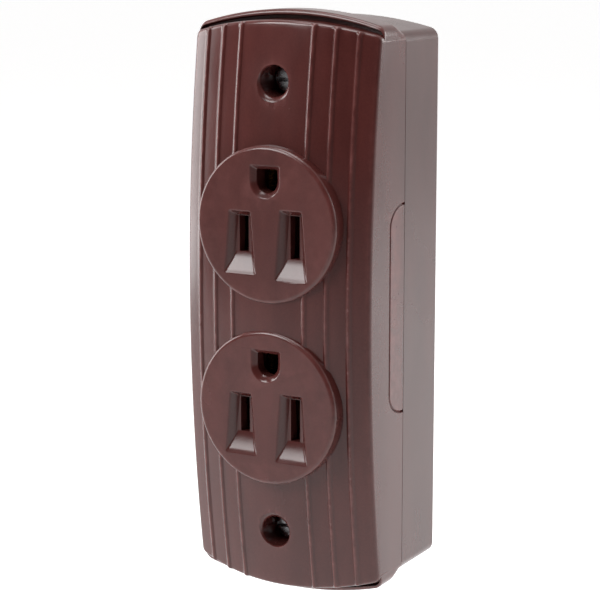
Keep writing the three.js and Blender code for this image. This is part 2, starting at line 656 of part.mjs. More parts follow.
function bladeStrip(side) {
  const across = (a, b) => [side * a, side * b].sort((p, q) => p - q);
  const middle = STRIP_OUTER - STRIP_THICKNESS / 2;
  const flatFront = STRIP_REAR + STRIP_THICKNESS;
  const contacts = ["upper", "lower"].flatMap((name) => {
    const reach = around(slotLine(name), BLADE_LEAF_HALF_HEIGHT);
    const leaves = strut(contactProfile(side * BLADE_OFFSET, STRIP_REAR, BLADE_CONTACT), reach);
    const foot = block(across(BLADE_OFFSET + FOOT_START, middle), [STRIP_REAR, flatFront],
      around(slotLine(name), BLADE_LEAF_HALF_HEIGHT - FOOT_MARGIN));
    return [leaves, foot];
  });
  const rail = block(across(STRIP_OUTER - STRIP_THICKNESS, STRIP_OUTER), [STRIP_REAR, STRIP_FRONT],
    [slotLine("lower") - BLADE_LEAF_HALF_HEIGHT, slotLine("upper") + BLADE_LEAF_HALF_HEIGHT]);
  const tabs = Object.values(TERMINAL_HEIGHTS).map((z) => (
    block(across(middle, TERMINAL_OFFSET + TERMINAL_TAB_HALF_SIZE), [STRIP_REAR, flatFront],
      around(z, TERMINAL_TAB_HALF_SIZE))
  ));
  const holes = Object.values(TERMINAL_HEIGHTS).map((z) => (
    bar(side * TERMINAL_OFFSET, z, STRIP_REAR - OVERCUT, flatFront + OVERCUT, CLEARANCE_RADIUS)
  ));
  const linkHeight = (TERMINAL_HEIGHTS.upper + TERMINAL_HEIGHTS.lower) / 2;
  const linkNotch = block(around(side * STRIP_OUTER, LINK_NOTCH_HALF_WIDTH),
    [STRIP_FRONT - LINK_NOTCH_DEPTH, STRIP_FRONT + OVERCUT], around(linkHeight, LINK_NOTCH_HALF_HEIGHT));
  return cut(joined(rail, ...contacts.flat(), ...tabs), ...holes, linkNotch);
}

const STRAP_REAR = CHANNEL_FLOOR + GAP;
const STRAP_FRONT = STRAP_REAR + STRAP_THICKNESS;

function groundStrap() {
  const strip = block(around(0, STRAP_HALF_WIDTH), [STRAP_REAR, STRAP_FRONT],
    [GROUND_TERMINAL_HEIGHT, STRAP_TOP]);
  const tab = block(around(0, TERMINAL_TAB_HALF_SIZE), [STRAP_REAR, STRAP_FRONT],
    around(GROUND_TERMINAL_HEIGHT, TERMINAL_TAB_HALF_SIZE));
  const holes = ["upper", "lower"].map((name) => (
    bar(0, groundHeight(name), STRAP_REAR - OVERCUT, STRAP_FRONT + OVERCUT, RIVET_SHANK_RADIUS + GAP)
  ));
  const screwHole = bar(0, GROUND_TERMINAL_HEIGHT, STRAP_REAR - OVERCUT, STRAP_FRONT + OVERCUT,
    CLEARANCE_RADIUS);
  return cut(joined(strip, tab), ...holes, screwHole);
}

const GROUND_CONTACT_REAR = STRAP_FRONT + GAP;

function groundContact(name) {
  const reach = around(groundHeight(name), GROUND_LEAF_HALF_HEIGHT);
  const leaves = strut(contactProfile(0, GROUND_CONTACT_REAR, GROUND_CONTACT), reach);
  const hole = bar(0, groundHeight(name), GROUND_CONTACT_REAR - OVERCUT,
    GROUND_CONTACT_REAR + LEAF_THICKNESS + OVERCUT, RIVET_SHANK_RADIUS + GAP);
  return cut(leaves, hole);
}

function groundRivet(name) {
  const z = groundHeight(name);
  const rearHead = STRAP_REAR - GAP / 2;
  const frontHead = GROUND_CONTACT_REAR + LEAF_THICKNESS + GAP / 2;
  const upset = (rear, front, rearRadius, frontRadius) => (
    bar(0, z, rear, front, rearRadius, frontRadius, SMALL_SEGMENTS)
  );
  const rearTop = RIVET_HEAD_RADIUS * RIVET_REAR_SHARE;
  const frontTop = RIVET_HEAD_RADIUS * RIVET_FRONT_SHARE;
  return joined(
    upset(rearHead - RIVET_HEAD_HEIGHT, rearHead, rearTop, RIVET_HEAD_RADIUS),
    upset(rearHead - RIVET_OVERLAP, frontHead + RIVET_OVERLAP, RIVET_SHANK_RADIUS, RIVET_SHANK_RADIUS),
    upset(frontHead, frontHead + RIVET_HEAD_HEIGHT, RIVET_HEAD_RADIUS, frontTop),
  );
}

// ---------------------------------------------------------------- screws, washers and clamps

// A slotted machine screw square to the wall, its head's underside at seatDepth.
function slottedScrew(x, z, { seatDepth, headRadius, headHeight, tipDepth }) {
  const crownStart = seatDepth + headHeight * HEAD_EDGE_SHARE;
  const top = seatDepth + headHeight;
  const tipEnd = tipDepth + TIP_CHAMFER_LENGTH;
  const body = joined(
    bar(x, z, tipDepth, tipEnd, SHANK_RADIUS - TIP_CHAMFER, SHANK_RADIUS),
    bar(x, z, tipEnd, seatDepth + HEAD_OVERLAP, SHANK_RADIUS),
    bar(x, z, seatDepth, crownStart, headRadius),
    bar(x, z, crownStart, top, headRadius, headRadius * HEAD_TOP_SHARE),
  );
  const slot = block(around(x, headRadius + OVERCUT), [top - headHeight * SLOT_SHARE, top + OVERCUT],
    around(z, DRIVER_SLOT_HALF_WIDTH));
  return cut(body, slot);
}

const WASHER_REAR = SCREW_SEAT_DEPTH + GAP / 2;
const WASHER_FRONT = WASHER_REAR + WASHER_THICKNESS;

function coverWasher(z) {
  return cut(
    bar(0, z, WASHER_REAR, WASHER_FRONT, WASHER_RADIUS),
    bar(0, z, WASHER_REAR - OVERCUT, WASHER_FRONT + OVERCUT, CLEARANCE_RADIUS),
  );
}

function coverScrew(z) {
  return slottedScrew(0, z, {
    seatDepth: WASHER_FRONT + GAP / 2,
    headRadius: COVER_HEAD_RADIUS,
    headHeight: COVER_HEAD_HEIGHT,
    tipDepth: COVER_SCREW_TIP,
  });
}

function coverInsert(z) {
  return cut(
    bar(0, z, INSERT_BOTTOM, INSERT_TOP, INSERT_RADIUS, INSERT_RADIUS, SMALL_SEGMENTS),
    bar(0, z, INSERT_BOTTOM - OVERCUT, INSERT_TOP + OVERCUT, CLEARANCE_RADIUS),
  );
}

// The square pressure plate under a terminal screw, grooved underneath to grip a wire on either side.
function clampPlate(x, z, tabFront) {
  const rear = tabFront + GAP;
  const front = rear + CLAMP_THICKNESS;
  const plate = block(around(x, CLAMP_HALF_SIZE), [rear, front], around(z, CLAMP_HALF_SIZE));
  const grooves = [-1, 1].map((side) => (
    block(around(x + side * CLAMP_GROOVE_OFFSET, CLAMP_GROOVE_HALF_WIDTH),
      [rear - OVERCUT, rear + CLAMP_GROOVE_DEPTH], around(z, CLAMP_HALF_SIZE + OVERCUT))
  ));
  const hole = bar(x, z, rear - OVERCUT, front + OVERCUT, CLEARANCE_RADIUS);
  return cut(plate, ...grooves, hole);
}

function terminalScrew(x, z, tabFront) {
  const seatDepth = tabFront + GAP + CLAMP_THICKNESS + GAP / 2;
  return slottedScrew(x, z, {
    seatDepth,
    headRadius: TERMINAL_HEAD_RADIUS,
    headHeight: TERMINAL_HEAD_HEIGHT,
    tipDepth: seatDepth - TERMINAL_SHANK_LENGTH,
  });
}

// ---------------------------------------------------------------- assembly

const outlet = new THREE.Group();

function place(name, solid, look) {
  const mesh = new THREE.Mesh(toGeometry(solid), new THREE.MeshStandardMaterial(look));
  mesh.name = name;
  outlet.add(mesh);
}

place("front_cover", frontCover(), BROWN_PLASTIC);
place("rear_base", rearBase(), BASE_PLASTIC);
place("breakout_tab_right", breakoutTab(1), BROWN_PLASTIC);
place("breakout_tab_left", breakoutTab(-1), BROWN_PLASTIC);

for (const [name, end] of [["upper", 1], ["lower", -1]]) {
  const z = end * COVER_SCREW_HEIGHT;
  place(`cover_screw_${name}`, coverScrew(z), STEEL);
  place(`cover_washer_${name}`, coverWasher(z), STEEL);
  place(`cover_insert_${name}`, coverInsert(z), BRASS);
}

place("hot_contact_strip", bladeStrip(-1), SPRING_BRASS);
place("neutral_contact_strip", bladeStrip(1), SPRING_BRASS);
place("ground_strap", groundStrap(), STEEL);

for (const name of ["upper", "lower"]) {
  place(`ground_contact_${name}`, groundContact(name), SPRING_BRASS);
  place(`ground_rivet_${name}`, groundRivet(name), BRASS);
}

const stripFront = STRIP_REAR + STRIP_THICKNESS;
for (const [name, z] of Object.entries(TERMINAL_HEIGHTS)) {
  for (const [pole, side, look] of [["hot", -1, BRASS], ["neutral", 1, STEEL]]) {
    const x = side * TERMINAL_OFFSET;
    place(`${pole}_clamp_${name}`, clampPlate(x, z, stripFront), look);
    place(`${pole}_terminal_screw_${name}`, terminalScrew(x, z, stripFront), look);
  }
}

place("ground_clamp", clampPlate(0, GROUND_TERMINAL_HEIGHT, STRAP_FRONT), STEEL);
place("ground_terminal_screw", terminalScrew(0, GROUND_TERMINAL_HEIGHT, STRAP_FRONT), GREEN_SCREW);

export default outlet;
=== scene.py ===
import json
import math

import bmesh
import bpy
import numpy as np
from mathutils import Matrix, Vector


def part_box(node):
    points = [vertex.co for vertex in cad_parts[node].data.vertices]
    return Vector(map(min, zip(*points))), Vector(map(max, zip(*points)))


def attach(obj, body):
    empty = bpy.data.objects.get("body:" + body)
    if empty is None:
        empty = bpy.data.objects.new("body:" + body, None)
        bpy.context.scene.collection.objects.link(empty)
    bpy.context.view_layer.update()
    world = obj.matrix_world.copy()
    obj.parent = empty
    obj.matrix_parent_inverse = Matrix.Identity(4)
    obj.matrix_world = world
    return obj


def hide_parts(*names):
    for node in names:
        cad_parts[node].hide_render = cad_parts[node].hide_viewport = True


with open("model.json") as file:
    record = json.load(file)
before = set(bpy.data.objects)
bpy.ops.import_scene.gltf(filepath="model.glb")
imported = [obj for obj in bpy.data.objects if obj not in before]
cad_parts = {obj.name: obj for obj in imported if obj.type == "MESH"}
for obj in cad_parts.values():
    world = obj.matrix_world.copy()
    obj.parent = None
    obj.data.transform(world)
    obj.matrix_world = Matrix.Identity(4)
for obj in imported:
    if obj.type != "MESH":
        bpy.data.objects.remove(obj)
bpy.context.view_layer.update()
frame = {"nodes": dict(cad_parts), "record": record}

# Sizes below are in millimetres, x to the right, "depth" in front of the wall and z up the wall.
MM = 0.001
UPPER_LOWER = (("upper", 1), ("lower", -1))

# ------------------------------------------------------------------ sizes read from the frame


def limits(node):
    """Lowest and highest x, depth and z of a CAD node, in millimetres."""
    low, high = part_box(node)
    return {
        "x": (low.x / MM, high.x / MM),
        "depth": (-high.y / MM, -low.y / MM),
        "z": (low.z / MM, high.z / MM),
    }


COVER = limits("front_cover")
BASE = limits("rear_base")
HALF_WIDTH = COVER["x"][1]
COVER_APEX = COVER["z"][1]
FACE_DEPTH = COVER["depth"][1]
BASE_APEX = BASE["z"][1]
BLOCK_FRONT = BASE["depth"][1]

# ------------------------------------------------------------------ camera, world and lights

CAMERA_AZIMUTH = 29.04
CAMERA_ELEVATION = 10.92
CAMERA_DISTANCE = 0.449
CAMERA_TARGET = Vector((0, -0.015, 0))
CAMERA_LENS = 119.4
CAMERA_SHIFT = (-0.0240, -0.0038)
FLOOR_HEIGHT = -0.12


def make_camera():
    azimuth, elevation = math.radians(CAMERA_AZIMUTH), math.radians(CAMERA_ELEVATION)
    back = Vector((
        math.sin(azimuth) * math.cos(elevation),
        -math.cos(azimuth) * math.cos(elevation),
        math.sin(elevation),
    ))
    data = bpy.data.cameras.new("camera")
    data.lens = CAMERA_LENS
    data.shift_x, data.shift_y = CAMERA_SHIFT
    data.clip_start = 0.01
    camera = bpy.data.objects.new("camera", data)
    camera.location = CAMERA_TARGET + back * CAMERA_DISTANCE
    camera.rotation_mode = "QUATERNION"
    camera.rotation_quaternion = (-back).to_track_quat("-Z", "Y")
    bpy.context.scene.collection.objects.link(camera)
    bpy.context.scene.camera = camera


def soft_box(name, location, size, radiance, target=(0, -0.02, 0)):
    """A rectangular studio light; radiance is its own brightness."""
    data = bpy.data.lights.new(name, "AREA")
    data.shape = "RECTANGLE"
    data.size, data.size_y = size
    data.energy = radiance * math.pi * size[0] * size[1]
    light = bpy.data.objects.new(name, data)
    light.location = location
    light.rotation_mode = "QUATERNION"
    light.rotation_quaternion = (Vector(target) - Vector(location)).to_track_quat("-Z", "Y")
    light.visible_camera = False
    bpy.context.scene.collection.objects.link(light)


def make_world():
    """Bright behind the object and dim on the camera's side, as a studio with a white sweep is."""
    world = bpy.data.worlds.new("studio")
    bpy.context.scene.world = world
    world.use_nodes = True
    nodes, links = world.node_tree.nodes, world.node_tree.links
    background = nodes["Background"]
    coordinates = nodes.new("ShaderNodeTexCoord")
    axes = nodes.new("ShaderNodeSeparateXYZ")
    links.new(coordinates.outputs["Generated"], axes.inputs[0])
    ramp = nodes.new("ShaderNodeMapRange")
    ramp.interpolation_type = "SMOOTHSTEP"
    ramp.inputs["From Min"].default_value = -0.35
    ramp.inputs["From Max"].default_value = 0.25
    ramp.inputs["To Min"].default_value = 0.02
    ramp.inputs["To Max"].default_value = 0.72
    links.new(axes.outputs["Y"], ramp.inputs["Value"])
    left = nodes.new("ShaderNodeMapRange")
    left.inputs["From Min"].default_value = -0.45
    left.inputs["From Max"].default_value = -1.0
    left.inputs["To Max"].default_value = 0.20
    links.new(axes.outputs["X"], left.inputs["Value"])
    total = nodes.new("ShaderNodeMath")
    links.new(ramp.outputs["Result"], total.inputs[0])
    links.new(left.outputs["Result"], total.inputs[1])
    links.new(total.outputs[0], background.inputs["Strength"])
    background.inputs["Color"].default_value = (1, 0.99, 0.985, 1)


def make_floor():
    """A pale floor with painted light and shade: it glows behind the object, and its colour is painted a
    darker grey in front of it as painted shade.
    """
    mesh = bpy.data.meshes.new("floor")
    reach = 12
    corners = [(-reach, -reach, FLOOR_HEIGHT), (reach, -reach, FLOOR_HEIGHT),
               (reach, reach, FLOOR_HEIGHT), (-reach, reach, FLOOR_HEIGHT)]
    mesh.from_pydata(corners, [], [(0, 1, 2, 3)])
    floor = bpy.data.objects.new("floor", mesh)
    bpy.context.scene.collection.objects.link(floor)
    material, tree, shader, coordinate = start_material("floor")
    axes = tree.nodes.new("ShaderNodeSeparateXYZ")
    tree.links.new(coordinate, axes.inputs[0])
    # painted light and shade: this position mask darkens the floor's colour in front of the object and makes
    # the floor glow behind it
    behind = remap(tree, axes.outputs["Y"], -0.30, 0.15, 0, 1)
    tree.links.new(mix_colour(tree, behind, (0.6, 0.6, 0.6), (0.9, 0.9, 0.9)), shader.inputs["Base Color"])
    tree.links.new(math_node(tree, "MULTIPLY", behind, 0.6), shader.inputs["Emission Strength"])
    shader.inputs["Emission Color"].default_value = (1, 1, 1, 1)
    shader.inputs["Roughness"].default_value = 0.9
    mesh.materials.append(material)


make_camera()
make_world()
soft_box("top_box", (-0.05, -0.10, 0.75), (0.45, 0.35), 5.0)
soft_box("front_box", (-0.28, -0.48, 0.43), (0.34, 0.34), 8)
soft_box("side_card", (0.58, 0.60, 0.26), (0.42, 0.46), 4.2)
soft_box("left_card", (-0.70, -0.14, 0.12), (0.24, 0.60), 6.0)
bpy.context.scene.view_settings.view_transform = "Standard"

# ------------------------------------------------------------------ materials


def socket_noise(tree, coordinate, scale, detail, stretch=(1, 1, 1)):
    """A noise texture read at the object's own coordinates; its factor output is returned."""
    mapping = tree.nodes.new("ShaderNodeMapping")
    mapping.inputs["Scale"].default_value = stretch
    tree.links.new(coordinate, mapping.inputs["Vector"])
    noise = tree.nodes.new("ShaderNodeTexNoise")
    noise.inputs["Scale"].default_value = scale
    noise.inputs["Detail"].default_value = detail
    tree.links.new(mapping.outputs["Vector"], noise.inputs["Vector"])
    return noise.outputs["Fac"]


def remap(tree, value, low, high, to_low, to_high):
    node = tree.nodes.new("ShaderNodeMapRange")
    node.inputs["From Min"].default_value = low
    node.inputs["From Max"].default_value = high
    node.inputs["To Min"].default_value = to_low
    node.inputs["To Max"].default_value = to_high
    tree.links.new(value, node.inputs["Value"])
    return node.outputs["Result"]


def math_node(tree, operation, a, b):
    node = tree.nodes.new("ShaderNodeMath")
    node.operation = operation
    for socket, value in zip(node.inputs, (a, b)):
        if isinstance(value, (int, float)):
            socket.default_value = value
        else:
            tree.links.new(value, socket)
    return node.outputs[0]


def mix_colour(tree, factor, a, b):
    node = tree.nodes.new("ShaderNodeMix")
    node.data_type = "RGBA"
    tree.links.new(factor, node.inputs["Factor"])
    for socket, value in ((node.inputs[6], a), (node.inputs[7], b)):
        if isinstance(value, tuple):
            socket.default_value = (*value, 1)
        else:
            tree.links.new(value, socket)
    return node.outputs[2]


def bump(tree, height, strength, distance):
    node = tree.nodes.new("ShaderNodeBump")
    node.inputs["Strength"].default_value = strength
    node.inputs["Distance"].default_value = distance
    tree.links.new(height, node.inputs["Height"])
    return node.outputs["Normal"]


def start_material(name):
    material = bpy.data.materials.new(name)
    material.use_nodes = True
    tree = material.node_tree
    shader = tree.nodes["Principled BSDF"]
    coordinate = tree.nodes.new("ShaderNodeTexCoord").outputs["Object"]
    return material, tree, shader, coordinate


def edge_attribute(tree):
    node = tree.nodes.new("ShaderNodeAttribute")
    node.attribute_name = "edge"
    return node.outputs["Fac"]


def moulded_plastic(name, deep, light, gloss):
    """Phenolic moulding: mottled brown filler, faint flow streaks, rubbed edges, orange-peel gloss."""
    material, tree, shader, coordinate = start_material(name)
    flow = socket_noise(tree, coordinate, 90, 4, (1.6, 1.6, 0.35))
    filler = socket_noise(tree, coordinate, 2600, 3)
    broad, fine = math_node(tree, "MULTIPLY", flow, 0.7), math_node(tree, "MULTIPLY", filler, 0.3)
    mottle = math_node(tree, "ADD", broad, fine)
    body = mix_colour(tree, remap(tree, mottle, 0.38, 0.62, 0, 1), deep, light)
    rubbed = tuple(min(1, channel * 1.9 + 0.02) for channel in light)
    scuff = socket_noise(tree, coordinate, 420, 5)
    wear = math_node(tree, "MULTIPLY", edge_attribute(tree), remap(tree, scuff, 0.35, 0.7, 0.15, 0.75))
    tree.links.new(mix_colour(tree, wear, body, rubbed), shader.inputs["Base Color"])
    hazy = socket_noise(tree, coordinate, 60, 5, (1, 1, 0.6))
    smudge = remap(tree, hazy, 0.35, 0.7, gloss, gloss + 0.12)
    rough = math_node(tree, "ADD", smudge, math_node(tree, "MULTIPLY", wear, 0.1))
    tree.links.new(rough, shader.inputs["Roughness"])
    peel = socket_noise(tree, coordinate, 700, 2)
    coarse, pores = math_node(tree, "MULTIPLY", peel, 0.8), math_node(tree, "MULTIPLY", filler, 0.2)
    grain = math_node(tree, "ADD", coarse, pores)
    tree.links.new(bump(tree, grain, 0.12, 0.00006), shader.inputs["Normal"])
    shader.inputs["IOR"].default_value = 1.52
    shader.inputs["Coat Weight"].default_value = 0.12
    shader.inputs["Coat Roughness"].default_value = 0.12
    return material


def worked_metal(name, colour, dull, roughness, along=(1, 1, 12), metallic=1.0):
    """Rolled or turned metal: drawn grain, tarnish in patches, brighter rubbed edges."""
    material, tree, shader, coordinate = start_material(name)
    tarnish = remap(tree, socket_noise(tree, coordinate, 260, 6), 0.4, 0.66, 0, 1)
    body = mix_colour(tree, tarnish, colour, dull)
    bright = tuple(min(1, channel * 1.25) for channel in colour)
    worn = math_node(tree, "MULTIPLY", edge_attribute(tree), 0.6)
    tree.links.new(mix_colour(tree, worn, body, bright), shader.inputs["Base Color"])
    drawn = socket_noise(tree, coordinate, 900, 3, along)
    rough = remap(tree, drawn, 0.3, 0.7, roughness - 0.07, roughness + 0.1)
    tree.links.new(rough, shader.inputs["Roughness"])
    tree.links.new(bump(tree, drawn, 0.15, 0.00003), shader.inputs["Normal"])
    shader.inputs["Metallic"].default_value = metallic
    return material


make_floor()

DARK_COVER, LIGHT_COVER = (0.072, 0.0175, 0.0155), (0.098, 0.0245, 0.0215)
DARK_BASE, LIGHT_BASE = (0.060, 0.017, 0.0150), (0.082, 0.024, 0.0210)
TURNED_GRAIN = (6, 6, 6)
DYED_METALLIC = 0.85

LOOKS = {
    "cover_plastic": moulded_plastic("cover_plastic", DARK_COVER, LIGHT_COVER, 0.16),
    "base_plastic": moulded_plastic("base_plastic", DARK_BASE, LIGHT_BASE, 0.18),
    "contact_brass": worked_metal("contact_brass", (0.78, 0.55, 0.22), (0.50, 0.32, 0.13), 0.27),
    "insert_brass": worked_metal("insert_brass", (0.74, 0.50, 0.19), (0.55, 0.36, 0.15), 0.3, TURNED_GRAIN),
    "plated_steel": worked_metal("plated_steel", (0.50, 0.50, 0.51), (0.30, 0.30, 0.31), 0.24, TURNED_GRAIN),
    "green_screw": worked_metal(
        "green_screw", (0.05, 0.24, 0.09), (0.03, 0.15, 0.06), 0.3, TURNED_GRAIN, DYED_METALLIC,
    ),
}
SLOT_OF = {entry["node"]: entry["material_slot"] for entry in frame["record"]["subparts"]}
BODY_OF = {node: body for body, nodes in frame["record"]["behaviour"]["bodies"].items() for node in nodes}

# ------------------------------------------------------------------ mesh building


def solid(name, points, faces):
    """An object from (x, depth, z) points in millimetres, its faces turned outward."""
    mesh = bpy.data.meshes.new(name)
    mesh.from_pydata([(x * MM, -depth * MM, z * MM) for x, depth, z in points], [], faces)
    work = bmesh.new()
    work.from_mesh(mesh)
    bmesh.ops.recalc_face_normals(work, faces=work.faces)
    work.to_mesh(mesh)
    work.free()
    made = bpy.data.objects.new(name, mesh)
    bpy.context.scene.collection.objects.link(made)
    return made


def baked(target):
    """Replaces an object's mesh by what its modifiers make of it."""
    graph = bpy.context.evaluated_depsgraph_get()
    mesh = bpy.data.meshes.new_from_object(target.evaluated_get(graph))
    target.modifiers.clear()
    target.data = mesh
    return target


def combine(target, operation, tools):
    for tool in tools:
        step = target.modifiers.new(operation, "BOOLEAN")
        step.operation = operation
        step.solver = "MANIFOLD"
        step.object = tool
    baked(target)
    for tool in tools:
        bpy.data.objects.remove(tool)
    return target


def join(target, *tools):
    return combine(target, "UNION", tools)


def cut(target, *tools):
    return combine(target, "DIFFERENCE", tools)


def loft(name, sections):
    """A closed solid through outlines of equal length: sections are (outline, depth), in order."""
    count = len(sections[0][0])
    points = [(x, depth, z) for outline, depth in sections for x, z in outline]
    faces = [tuple(range(count)), tuple(range(len(points) - count, len(points)))]
    for level in range(len(sections) - 1):
        start = level * count
        for i in range(count):
            j = (i + 1) % count
            faces.append((start + i, start + j, start + count + j, start + count + i))
    return solid(name, points, faces)


def box(x, depth, z):
    (x0, x1), (z0, z1) = sorted(x), sorted(z)
    outline = [(x0, z0), (x1, z0), (x1, z1), (x0, z1)]
    return loft("box", [(outline, depth[0]), (outline, depth[1])])


def turned(name, x, z, profile, steps=48, ripple=None):
    """A solid of revolution square to the wall; profile is (radius, depth), rear to front."""
    shape = ripple or (lambda angle, radius, depth: radius)
    sections = []
    for radius, depth in profile:
        ring = []
        for i in range(steps):
            angle = 2 * math.pi * i / steps
            reach = shape(angle, radius, depth)
            ring.append((x + reach * math.cos(angle), z + reach * math.sin(angle)))
        sections.append((ring, depth))
    return loft(name, sections)


def around(centre, half):
    return (centre - half, centre + half)


def arched_outline(half_width, apex, sagitta, fillet, arch_steps=40, fillet_steps=8):
    """Straight sides and arched ends with filleted corners, counter-clockwise from +x."""
    radius = (half_width ** 2 + sagitta ** 2) / (2 * sagitta)
    centre = apex - radius
    fillet_x = half_width - fillet
    fillet_z = centre + math.sqrt((radius - fillet) ** 2 - fillet_x ** 2)
    start = math.atan2(fillet_z - centre, fillet_x)
    top = []
    for i in range(fillet_steps + 1):
        angle = start * i / fillet_steps
        top.append((fillet_x + fillet * math.cos(angle), fillet_z + fillet * math.sin(angle)))
    for i in range(1, arch_steps // 2 + 1):
        angle = start + (math.pi / 2 - start) * i / (arch_steps // 2)
        top.append((radius * math.cos(angle), centre + radius * math.sin(angle)))
    upper = top + [(-x, z) for x, z in reversed(top[:-1])]
    return upper + [(-x, -z) for x, z in upper]


def edge_wear(mesh, reach_mm=0.9):
    """Stores how convex the surface is at each vertex, 0 flat to 1 sharp, as the attribute 'edge'."""
    count = len(mesh.vertices)
    place = np.empty(count * 3)
    mesh.vertices.foreach_get("co", place)
    place = place.reshape(-1, 3) / MM
    normal = np.empty(count * 3)
    mesh.vertices.foreach_get("normal", normal)
    normal = normal.reshape(-1, 3)
    ends = np.empty(len(mesh.edges) * 2, dtype=np.int64)
    mesh.edges.foreach_get("vertices", ends)
    a, b = ends.reshape(-1, 2).T
    run = place[b] - place[a]
    bend = ((normal[b] - normal[a]) * run).sum(1) / np.maximum((run ** 2).sum(1), 1e-6)
    total, number = np.zeros(count), np.zeros(count)
    for end in (a, b):
        np.add.at(total, end, np.clip(bend, -4, 4))
        np.add.at(number, end, 1)
    value = np.clip(total / np.maximum(number, 1) * reach_mm, 0, 1)
    for _ in range(2):
        spread = np.zeros(count)
        np.add.at(spread, a, value[b])
        np.add.at(spread, b, value[a])
        value = 0.5 * value + 0.5 * spread / np.maximum(number, 1)
    layer = mesh.attributes.new("edge", "FLOAT", "POINT")
    layer.data.foreach_set("value", value.astype(np.float32))


def finish_mesh(target, sharp_degrees=32):
    """Welds, shades smoothly between sharp edges and adds the wear attribute."""
    work = bmesh.new()
    work.from_mesh(target.data)
    bmesh.ops.remove_doubles(work, verts=work.verts, dist=1e-7)
    bmesh.ops.dissolve_degenerate(work, edges=work.edges, dist=1e-7)
    limit = math.radians(sharp_degrees)
    for edge in work.edges:
        edge.smooth = len(edge.link_faces) == 2 and edge.calc_face_angle(0) < limit
    for face in work.faces:
        face.smooth = True
    work.to_mesh(target.data)
    work.free()
    edge_wear(target.data)
    weighted = target.modifiers.new("weighted", "WEIGHTED_NORMAL")
    weighted.keep_sharp = True
    weighted.weight = 80
    return baked(target)


def stands_for(node, made, sharp_degrees=32):
    """Finishes a piece, gives it the node's look and body, and hides the node."""
    finish_mesh(made, sharp_degrees)
    made.name = node + "_surface"
    slot = SLOT_OF[node]
    made.data.materials.clear()
    made.data.materials.append(LOOKS[slot])
    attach(made, BODY_OF[node])
    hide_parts(node)
    return made


# ------------------------------------------------------------------ front cover

PARTING = 16.0
HAIRLINE = 0.06
PARTING_COVER = PARTING + HAIRLINE / 2
COVER_SAGITTA = 3.5
BASE_SAGITTA = 3.0
CORNER_RADIUS = 2.5
HEEL_DEPTH = 19.6
RIM_DEPTH = 26.0
RIM_ROUNDING = 0.9
GROOVE_WIDTH = 1.0
GROOVE_SAGITTA = 3.1
GROOVE_DEPTH = 1.8

PANEL_APEX = 62.9
PANEL_SAGITTA = 3.1
PANEL_CORNER = 1.6
PANEL_CENTRE_DEPTH = 36.45
PANEL_BOW = 5.0
PANEL_BULGE = 4.75
PANEL_THICKNESS = 3.0
PANEL_DRAFT = 0.1
PANEL_EDGE_RADIUS = 0.8
CAVITY_HALF_WIDTH = 20.6
CAVITY_APEX = 60.6
CAVITY_SAGITTA = 3.0
RIDGES = (8.9, 13.85, 18.6)
RIDGE_HALF_WIDTH = 0.7
RIDGE_HEIGHT = 0.45

FACE_CENTRE = {"upper": 19.4, "lower": -20.9}
FACE_FLAT_RADIUS = 16.2
FACE_ROUNDING = 0.95
SLOT_DROP = 2.4
BLADE_OFFSET = 6.35
GROUND_RISE = 11.9
SLOT_HALF_WIDTH = 1.15
HOT_HALF_HEIGHT = 3.95
NEUTRAL_HALF_HEIGHT = 4.7
FUNNEL_DEPTH = 2.0
FUNNEL_TOP, FUNNEL_BOTTOM = 2.75, 3.9      # half widths where the flare meets the face
FUNNEL_ROOT = 1.95                         # half width at the foot of the bottom flare
OPENING_DEPTH = 12.0
GROUND_HALF_WIDTH = 2.6
GROUND_BEVEL = 1.1
SCREW_BORE = 3.4
SCREW_SEAT = 24.8
CLEARANCE = 2.05
COVER_SCREW_HEIGHT = 50.0
TAB_FRONT = 22.7
TAB_STRAIGHT = 18.4
TAB_REACH = 23.2


def arc_drop(distance, half, sagitta):
    radius = (half ** 2 + sagitta ** 2) / (2 * sagitta)
    return radius - np.sqrt(radius ** 2 - np.minimum(np.abs(distance), radius) ** 2)


def panel_depth(x, z):
    return PANEL_CENTRE_DEPTH - arc_drop(x, HALF_WIDTH, PANEL_BULGE) - arc_drop(z, PANEL_APEX, PANEL_BOW)


def ridge_height(x):
    nearest = min(abs(abs(x) - centre) for centre in RIDGES)
    share = min(nearest / RIDGE_HALF_WIDTH, 1)
    return RIDGE_HEIGHT * math.cos(share * math.pi / 2) ** 1.2


